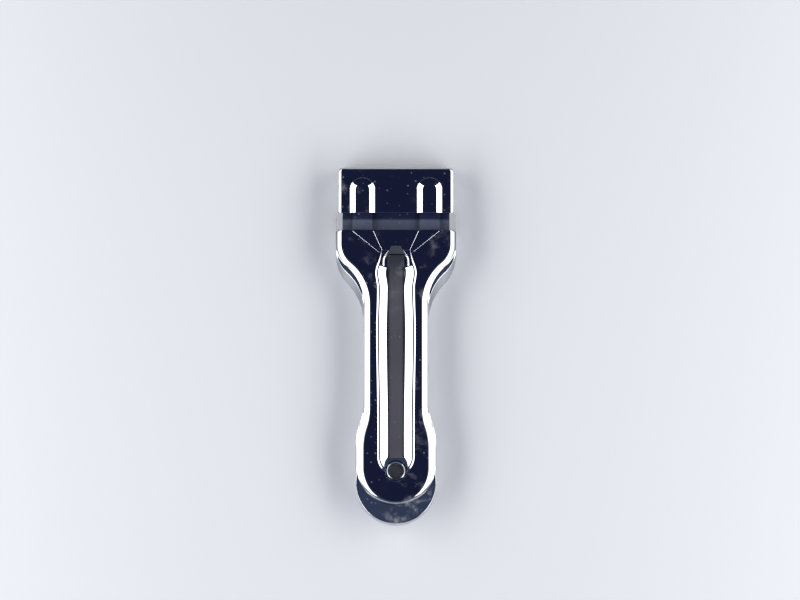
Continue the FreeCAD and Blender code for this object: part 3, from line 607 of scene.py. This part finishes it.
def frontSetBack(z):  # the neck's front edge is turned with a small radius just under the flat top
    return quarterDrop(bodyForm["plateau"] - z, bodyForm["frontRound"])


legForm = {"corners": ((4.6, 36.6), (7.0, 37.9), (17.65, neckFront - 0.35), (9.05, neckFront - 0.35)),
           "rear": {"rise": 0.04, "edge": 0.055}, "front": {"rise": 0.095, "edge": 0.13}, "steps": 9,
           "soft": 0.02, "lift": 0.01, "root": 0.5, "cornerRound": 0.3}


def drawnIn(corners, distance):  # a convex outline, anticlockwise, with every side moved in
    along = np.roll(corners, -1, 0) - corners
    along = along / np.linalg.norm(along, axis=1, keepdims=True)
    inward = np.stack([-along[:, 1], along[:, 0]], -1)
    before = np.roll(inward, 1, 0)
    share = 1 + (inward * before).sum(1, keepdims=True)
    return corners + distance * (inward + before) / share


def rooted(name, rows, root, side=1):  # loops over a copy of the first at the root's height
    return gridSolid(name, np.array([raised(rows[0][:, :2], root)] + rows) * (side, 1, 1))


def makeLeg(side):  # a low leg from the spine's nose to the neck's front, higher and wider bevelled in front
    form, plateau = legForm, bodyForm["plateau"]
    corners = np.array(form["corners"])
    rear, front = form["rear"], form["front"]
    inner = np.concatenate([drawnIn(corners, rear["edge"])[:2], drawnIn(corners, front["edge"])[2:]])
    soft = form["soft"] / rear["edge"]
    rows = []
    for share in np.linspace(-soft, 1 + soft, form["steps"]):
        loop = roundedLoop(corners + share * (inner - corners), form["cornerRound"])
        along = (loop[:, 1] - corners[0, 1]) / (corners[2, 1] - corners[0, 1])
        rise = rear["rise"] + along * (front["rise"] - rear["rise"])
        height = form["lift"] + rise * softStep(share, 1, 1, soft)
        rows.append(np.column_stack([loop, plateau + height]))
    return rooted("leg", rows, plateau - form["root"], side)


collarForm = {"corners": ((-5.3, 31.8), (5.3, 31.8), (5.1, 35.4), (2.2, 39.6), (-2.2, 39.6), (-5.1, 35.4)),
              "rearRise": 0.9, "frontRise": 0.4, "rise": 0.4, "run": 0.5, "soft": 0.08, "steps": 11,
              "root": 0.5, "cornerRound": 1.0}


def makeCollar():  # the spine's low nose: narrow flanks that draw together in front, and a sloping top
    form, plateau = collarForm, bodyForm["plateau"]
    corners = np.array(form["corners"])
    rear, tip = corners[0, 1], corners[3, 1]
    rows = []
    for inset in np.linspace(-form["soft"], form["run"] + form["soft"], form["steps"]):
        loop = roundedLoop(drawnIn(corners, inset), form["cornerRound"])
        along = (loop[:, 1] - rear) / (tip - rear)
        top = form["rearRise"] + along * (form["frontRise"] - form["rearRise"])
        drop = form["rise"] - softStep(inset, form["rise"], form["run"], form["soft"])
        rows.append(np.column_stack([loop, plateau + top - drop]))
    return rooted("collar", rows, plateau - form["root"])


buttonForm = {"rearHalf": 3.4, "frontHalf": 1.8, "flange": 1.0, "gap": 0.25, "frontRise": 0.5, "edge": 0.3,
              "footHalf": 2.5, "flangeLow": 7.7, "flangeHigh": 9.2, "root": 8.0, "openingLow": 8.6,
              "ribs": 3, "ribMargin": 0.35, "ribDepth": 0.12, "ribSteps": 31, "endSteps": 6}
buttonRear = buttonLow[1] + buttonForm["flange"]
buttonFront = buttonHigh[1] - buttonForm["flange"]


def buttonOpening():  # the button's wedge with its gap all round, as a cutter through the roof
    form, gap = buttonForm, buttonForm["gap"]
    rows = []
    for y, half in ((buttonRear - gap, form["rearHalf"] + gap), (buttonFront + gap, form["frontHalf"] + gap)):
        low = form["openingLow"]
        rows.append([(-half, y, low), (half, y, low), (half, y, above), (-half, y, above)])
    return gridSolid("opening", np.array(rows))


def neckWindow():  # the opening in the neck's front that the core's tongue fills
    form = bodyForm
    yRange = (neckFront - form["windowDepth"], neckFront + form["frontCorner"])
    return block("window", form["windowHalf"], yRange, (form["windowLow"], form["windowHigh"]))


stripForm = {"edgeRound": 0.45, "edgeSteps": 8, "crown": 0.12, "endRound": 0.3, "steps": 42, "fit": 0.05}
guideForm = {"inner": guardHigh[0] + 0.3, "seat": 3.0, "edgeRound": 0.27, "edgeSteps": 8}


def guideSeat(side):  # the rebate in the neck's side that takes a guide's rear end
    inner, outer = side * guideForm["inner"], side * (topHigh[0] + guideForm["seat"])
    corners = rectangle(inner, outer, guideLow[2], guideHigh[2])
    return prism("rebate", corners, neckFront - guideForm["seat"], neckFront + bodyForm["frontCorner"])


def makeTopShell():  # rings from the spine's top over flat, rim and ledge, down the wall and up inside
    form, wall, rim, flat = bodyForm, bodyForm["wall"], bodyForm["rim"], bodyForm["flat"]
    insets = spineInsets()
    middle = spineRing(insets[0])
    middle[:, 0] *= spineForm["middleShare"]
    rings = [middle] + [spineRing(inset) for inset in insets]
    rings.append(bodyRing(flat, form["flatMargin"], form["plateau"]))
    for share in np.linspace(0, 1, form["rimSteps"]):
        z = form["plateau"] - form["rimDrop"] * share ** form["rimPower"]
        rings.append(bodyRing(between(flat, rim, share), 0, z, frontSetBack(z)))
    rings += ledgeRings()
    rings.append(bodyRing(wall, 0, jointHeight + form["jointChamfer"]))
    rings.append(bodyRing(wall, form["jointChamfer"], jointHeight))
    rings.append(bodyRing(wall, form["shellWall"], jointHeight))
    rings.append(bodyRing(flat, form["shellWall"], form["ceiling"]))
    shell = gridSolid("topShell", np.array(rings))
    carve(shell, "UNION", [makeLeg(-1), makeLeg(1), makeCollar()])
    seatHalf = stripHigh[0] + stripForm["fit"]
    carve(shell, "DIFFERENCE", [
        block("seat", seatHalf, (stripLow[1], buttonRear), (stripLow[2], above)),
        buttonOpening(),
        post("hole", eyeletForm["tube"], (0, hangHole), (below, above)),
        post("notch", flangeSeat, (0, hangHole), (eyeletHigh[2] - eyeletForm["plate"], above)),
        neckWindow(), guideSeat(-1), guideSeat(1),
    ])
    finishPiece(shell, "handle", chromeLook, "top_shell")


def screwPlaces(node):  # the two screws of a node stand at the ends of its box
    low, high = boxOf(node)
    radius = min(high[0] - low[0], high[1] - low[1]) / 2
    return [tuple(low[:2] + radius), tuple(high[:2] - radius)]


def makeBottomShell():  # rings from the inner floor up over the lip, down the wall and round the belly
    form, wall, radius = bodyForm, bodyForm["wall"], bodyForm["bellyRadius"]
    rings = [bodyRing(wall, form["shellWall"], form["floor"]), bodyRing(wall, form["shellWall"], jointHeight)]
    rings.append(bodyRing(wall, form["jointChamfer"], jointHeight))
    rings.append(bodyRing(wall, 0, jointHeight - form["jointChamfer"]))
    for turn in np.linspace(math.pi / 2, 0, form["bellySteps"]):
        rings.append(bodyRing(wall, radius * (1 - math.sin(turn)), radius * (1 - math.cos(turn))))
    rings.append(bodyRing(wall, radius + form["bellyMargin"], 0))
    shell = gridSolid("bottomShell", np.array(rings))
    tools = [
        post("hole", eyeletForm["tube"], (0, hangHole), (below, above)),
        post("seat", flangeSeat, (0, hangHole), (below, eyeletLow[2] + eyeletForm["plate"])),
        neckWindow(), guideSeat(-1), guideSeat(1),
    ]
    for place in screwPlaces("neck_screws") + screwPlaces("handle_screws"):
        tools.append(post("bore", form["screwBore"], place, (below, above)))
        tools.append(post("sink", form["headBore"], place, (below, form["headDepth"])))
    carve(shell, "DIFFERENCE", tools)
    finishPiece(shell, "handle", chromeLook, "bottom_shell")


def makeGuides():  # thin strips with rounded edges beside the guard's way back
    form = guideForm
    corners = rectangle(form["inner"], guideHigh[0], guideLow[2], guideHigh[2])
    outline = roundedLoop(corners, form["edgeRound"], form["edgeSteps"])
    left, right = [prism("sideGuides", outline * (side, 1), guideLow[1], guideHigh[1]) for side in (-1, 1)]
    carve(left, "UNION", [right])
    finishPiece(left, "handle", chromeLook, "side_guides")


makeTopShell()
makeBottomShell()
makeGuides()


# the sliding guard

guardForm = {"lift": guardLow[2], "top": 9.1, "half": guardHigh[0], "rear": guardLow[1],
             "front": guardHigh[1], "bottomBevel": 0.8, "sideLean": 1.15, "leanHeight": 0.85,
             "edgeRound": 0.2, "edgeSteps": 6, "cornerRound": 1.8, "cornerSteps": 24, "facetRun": 0.6,
             "facetDrop": 1.0, "facetSoft": 0.1, "rearRound": 0.22, "rearSteps": 9, "backSteps": 5,
             "archSpacing": 26.7, "archHalf": 4.9, "archTop": 2.75, "archHeight": 1.5, "archGap": 9.0,
             "archSoft": 0.25, "archFoot": 0.14, "archFootSoft": 0.03, "archSteps": 100, "domeSteps": 56,
             "cavityHalf": 21.6, "cavity": (2.0, 7.5), "frontWall": 1.3, "slitHalf": 20.3,
             "slit": (2.85, 4.05), "tunnelFoot": 4.3, "tunnelCrown": 3.9, "tunnelTop": 9.1,
             "tunnelDepth": 11.7, "middleSteps": 4}


def guardProfile():  # right half across the guard, from its floor's middle round to its roof's middle
    form = guardForm
    half, top, lift = form["half"], form["top"], form["lift"]
    middle = (top + lift) / 2
    start, end = [(0, middle), (0, lift)], [(0, top)]
    sides = [(half - form["bottomBevel"], lift), (half, lift + form["bottomBevel"]),
             (half, top - form["leanHeight"]), (half - form["sideLean"], top)]
    loop = roundedLoop(start + sides + end, form["edgeRound"], form["edgeSteps"])
    side = loop.reshape(-1, form["edgeSteps"] + 1, 2)[len(start):-len(end)].reshape(-1, 2)
    centre = form["archSpacing"] / 2
    reach = form["archHalf"] + form["archSoft"]
    roof = np.concatenate([np.linspace(centre + reach, centre - reach, form["archSteps"]),
                           np.linspace(centre - reach, 0, form["middleSteps"])[1:]])
    floor = np.array([(0, lift), (half / 2, lift)])
    return np.concatenate([floor, side, np.column_stack([roof, np.full(len(roof), top)])])


def archRise(x, y):  # two round-fronted tunnels: a small foot and a slope, by the distance from the middle
    form = guardForm
    centreY = form["front"] - form["archGap"]
    run = form["archHalf"] - np.hypot(np.abs(x) - form["archSpacing"] / 2, np.maximum(y - centreY, 0))
    small, total = form["archFoot"], form["archHalf"] - form["archTop"]
    foot = softStep(run + small, small, small, form["archFootSoft"])
    return foot + softStep(run, form["archHeight"], total, form["archSoft"])


def guardStations():  # places along the guard, close together at the ends and over the round fronts
    form = guardForm
    rear, front = form["rear"], form["front"]
    domeStart = front - form["archGap"]
    domeEnd = domeStart + form["archHalf"] + 2 * form["archSoft"]
    return np.concatenate([
        rear + quarterStops(form["rearRound"], form["rearSteps"]),
        np.linspace(rear, domeStart, form["backSteps"])[1:-1],
        np.linspace(domeStart, domeEnd, form["domeSteps"]),
        front - quarterStops(form["cornerRound"], form["cornerSteps"])[::-1],
    ])


def makeGuard():  # the profile carried from rear to front, drawn in at both ends, tunnels on its roof
    form = guardForm
    rear, front = form["rear"], form["front"]
    loop = mirrored(guardProfile())
    y = guardStations()[:, None]
    rearDraw = quarterDrop(y - rear, form["rearRound"])
    facet = softStep(form["facetRun"] - front + y, form["facetDrop"], form["facetRun"], form["facetSoft"])
    x = loop[:, 0] * (1 - (rearDraw + quarterDrop(front - y, form["cornerRound"])) / form["half"])
    middle = (form["top"] + form["lift"]) / 2
    z = middle + (loop[:, 1] - middle) * (1 - (rearDraw + facet) / (form["top"] - middle))
    onRoof = loop[:, 1] == form["top"]
    z = z + onRoof * archRise(x, y)
    guard = swept("bladeGuard", x, y, z)
    wall = form["frontWall"]
    tools = [
        block("cavity", form["cavityHalf"], (rear - wall, front - wall), form["cavity"]),
        block("slit", form["slitHalf"], (front - 2 * wall, front + wall), form["slit"]),
    ]
    for side in (-1, 1):
        centre = side * form["archSpacing"] / 2
        foot, crown = form["tunnelFoot"], form["tunnelCrown"]
        low, high = form["cavity"][0], form["tunnelTop"]
        corners = [(centre - foot, low), (centre + foot, low), (centre + crown, high), (centre - crown, high)]
        tools.append(prism("tunnel", corners, rear - wall, rear + form["tunnelDepth"]))
    carve(guard, "DIFFERENCE", tools)
    finishPiece(guard, "guard", chromeLook, "blade_guard")


makeGuard()


# eyelet, grip strip and lock button

def makeEyelet():  # a flanged tube with a bevelled upper lip, swung round the hang hole
    form = eyeletForm
    bore, tube, flange = form["bore"], form["tube"], form["flange"]
    low, high = eyeletLow[2], eyeletHigh[2]
    lowSeat, highSeat = low + form["plate"], high - form["plate"]
    corners = [(bore, low), (flange, low), (flange, lowSeat), (tube, lowSeat), (tube, highSeat),
               (flange, highSeat), (flange, high), (bore + form["lip"], high),
               (bore, high - form["lipDepth"])]
    profile = roundedLoop(corners, form["edgeRound"], form["edgeSteps"])
    eyelet = turned("hangEyelet", profile, (0, hangHole))
    finishPiece(eyelet, "handle", chromeLook, "hang_eyelet")


def makeStrip():  # a rounded bar with a slightly crowned top, carried along the spine and down its nose
    form = stripForm
    half, low, top = stripHigh[0], stripLow[2], stripHigh[2]
    corners = [(-half, low), (half, low), (half, top), (0, top), (-half, top)]
    loop = roundedLoop(corners, form["edgeRound"], form["edgeSteps"])
    near, far = stripLow[1], stripHigh[1]
    stops = quarterStops(form["endRound"])
    middle = np.linspace(near, far, form["steps"])[1:-1]
    y = np.concatenate([near + stops, middle, far - stops[::-1]])[:, None]
    draw = quarterDrop(y - near, form["endRound"]) + quarterDrop(far - y, form["endRound"])
    share = np.clip((loop[:, 1] - low) / (top - low), 0, 1)
    x = loop[:, 0] * (1 - draw * share / half)
    crown = form["crown"] * (loop[:, 0] / half) ** 2
    z = loop[:, 1] - share * (crown + draw + noseFall(y))
    strip = swept("gripStrip", x, y, z)
    finishPiece(strip, "handle", stripLook, "grip_strip")


def ribGrooves(y):  # a squared sine along the button's top that leaves low ribs for the thumb
    margin = buttonForm["ribMargin"]
    share = np.clip((y - buttonRear - margin) / (buttonFront - buttonRear - 2 * margin), 0, 1)
    return buttonForm["ribDepth"] * np.sin(math.pi * buttonForm["ribs"] * share) ** 2


def makeButton():  # a wedge with rounded edges and thumb ribs over its flange and foot
    form = buttonForm
    stops = quarterStops(form["edge"], form["endSteps"])
    middle = np.linspace(buttonRear + form["edge"], buttonFront - form["edge"], form["ribSteps"])[1:-1]
    y = np.concatenate([buttonRear + stops, middle, buttonFront - stops[::-1]])
    draw = quarterDrop(y - buttonRear, form["edge"]) + quarterDrop(buttonFront - y, form["edge"])
    share = (y - buttonRear) / (buttonFront - buttonRear)
    half = form["rearHalf"] + share * (form["frontHalf"] - form["rearHalf"])
    frontTop = bodyForm["plateau"] + form["frontRise"]
    top = buttonHigh[2] + share * (frontTop - buttonHigh[2]) - draw - ribGrooves(y)
    low = np.full(len(y), form["root"])
    sides = [(-half, low), (half, low), (half, top), (-half, top)]
    loops = roundedLoop(np.stack([np.stack(corner, -1) for corner in sides], 1), form["edge"])
    button = swept("lockButton", loops[..., 0], y[:, None], loops[..., 1])
    heights = (form["flangeLow"], form["flangeHigh"])
    flange = block("flange", buttonHigh[0], (buttonLow[1], buttonHigh[1]), heights)
    foot = block("foot", form["footHalf"], (buttonRear, buttonFront), (buttonLow[2], form["root"]))
    carve(button, "UNION", [flange, foot])
    finishPiece(button, "button", buttonLook, "lock_button")


makeEyelet()
makeStrip()
makeButton()


# CAD nodes that stay as they are, with their finishes

looks = {"core_frame": coreLook, "blade": metalLooks["bladeSteel"],
         "clamp_inserts": metalLooks["insertBrass"]}
looks.update({node: metalLooks["plainSteel"] for node in ("blade_clamp", "lock_spring")})
looks.update({node: metalLooks["screwSteel"] for node in
              ("clamp_screws", "spring_screw", "neck_screws", "handle_screws")})
for node, look in looks.items():
    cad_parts[node].data.materials.clear()
    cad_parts[node].data.materials.append(look)
print("finishes set on", len(looks), "nodes")


# floor, light and camera

studio = {"floor": (0.74, 0.75, 0.77, 1), "floorSize": 6.0, "floorRoughness": 0.7, "floorSpecular": 0.2,
          "panelAway": 0.55, "panelHeight": 0.30, "panelLength": 1.3, "panelWidth": 0.50, "panelPower": 10.6,
          "panelAlong": -0.15, "panelCore": 0.12, "panelEdge": 0.03,
          "overhead": (0.015, 0.0205, 0.060, 1), "horizon": (0.34, 0.35, 0.38, 1),
          "horizonBand": (0.02, 0.30), "tailward": (0.056, 0.078, 0.150, 1), "tailBand": (-0.075, -0.15)}


def makeFloor():  # one wide pale square
    reach = studio["floorSize"]
    mesh = bpy.data.meshes.new("floor")
    corners = [corner + (0,) for corner in rectangle(-reach, reach, -reach, reach)]
    mesh.from_pydata(corners, [], [(0, 1, 2, 3)])
    floor = bpy.data.objects.new("floor", mesh)
    bpy.context.scene.collection.objects.link(floor)
    material, tree, shader = newMaterial("paleFloor")
    shader.inputs["Base Color"].default_value = studio["floor"]
    shader.inputs["Roughness"].default_value = studio["floorRoughness"]
    shader.inputs["Specular IOR Level"].default_value = studio["floorSpecular"]
    mesh.materials.append(material)


def makePanel(side):  # a long panel beside the tool, turned to face it, that fades towards its edges
    lamp = bpy.data.lights.new("panel", "AREA")
    lamp.shape = "RECTANGLE"
    lamp.size = studio["panelWidth"]
    lamp.size_y = studio["panelLength"]
    lamp.energy = studio["panelPower"]
    lamp.use_nodes = True
    tree = lamp.node_tree
    spot = nodeIn(tree, "ShaderNodeNewGeometry").outputs["Parametric"]
    across = nodeIn(tree, "ShaderNodeSeparateXYZ", {"Vector": spot}).outputs["X"]
    middle = 0.5  # of the panel's width, which runs from 0 to 1
    away = mathIn(tree, "ABSOLUTE", mathIn(tree, "SUBTRACT", across, middle))
    glow = rangeIn(tree, away, middle, studio["panelCore"], studio["panelEdge"], 1.0)
    tree.links.new(glow, tree.nodes["Emission"].inputs["Strength"])
    panel = bpy.data.objects.new("panel", lamp)
    panel.location = (side * studio["panelAway"], studio["panelAlong"], studio["panelHeight"])
    lean = math.atan2(studio["panelAway"], studio["panelHeight"])
    panel.rotation_euler = (0, side * lean, 0)
    bpy.context.scene.collection.objects.link(panel)


def makeWorld():  # dark blue overhead, paler towards the horizon and a little paler behind the tail
    world = bpy.data.worlds.new("studio")
    world.use_nodes = True
    tree = world.node_tree
    way = nodeIn(tree, "ShaderNodeTexCoord").outputs["Generated"]
    parts = nodeIn(tree, "ShaderNodeSeparateXYZ", {"Vector": way}).outputs
    behind = rangeIn(tree, parts["Y"], *studio["tailBand"])
    sky = mixIn(tree, behind, studio["overhead"], studio["tailward"])
    share = rangeIn(tree, parts["Z"], *studio["horizonBand"])
    colour = mixIn(tree, share, studio["horizon"], sky)
    tree.links.new(colour, tree.nodes["Background"].inputs["Color"])
    bpy.context.scene.world = world


view = {"width": 0.3178, "centre": (0.0016, 0.0187), "height": 1.2, "focus": 0.011, "sensor": 36.0,
        "near": 0.01}


def makeCamera():  # straight above, with the picture's width at the height of the flat top
    data = bpy.data.cameras.new("camera")
    data.sensor_width = view["sensor"]
    data.lens = data.sensor_width * (view["height"] - view["focus"]) / view["width"]
    data.clip_start = view["near"]
    camera = bpy.data.objects.new("camera", data)
    camera.location = view["centre"] + (view["height"],)
    bpy.context.scene.collection.objects.link(camera)
    bpy.context.scene.camera = camera


makeFloor()
for side in (-1, 1):
    makePanel(side)
makeWorld()
makeCamera()
bpy.context.scene.view_settings.view_transform = "Standard"
print("stage set")
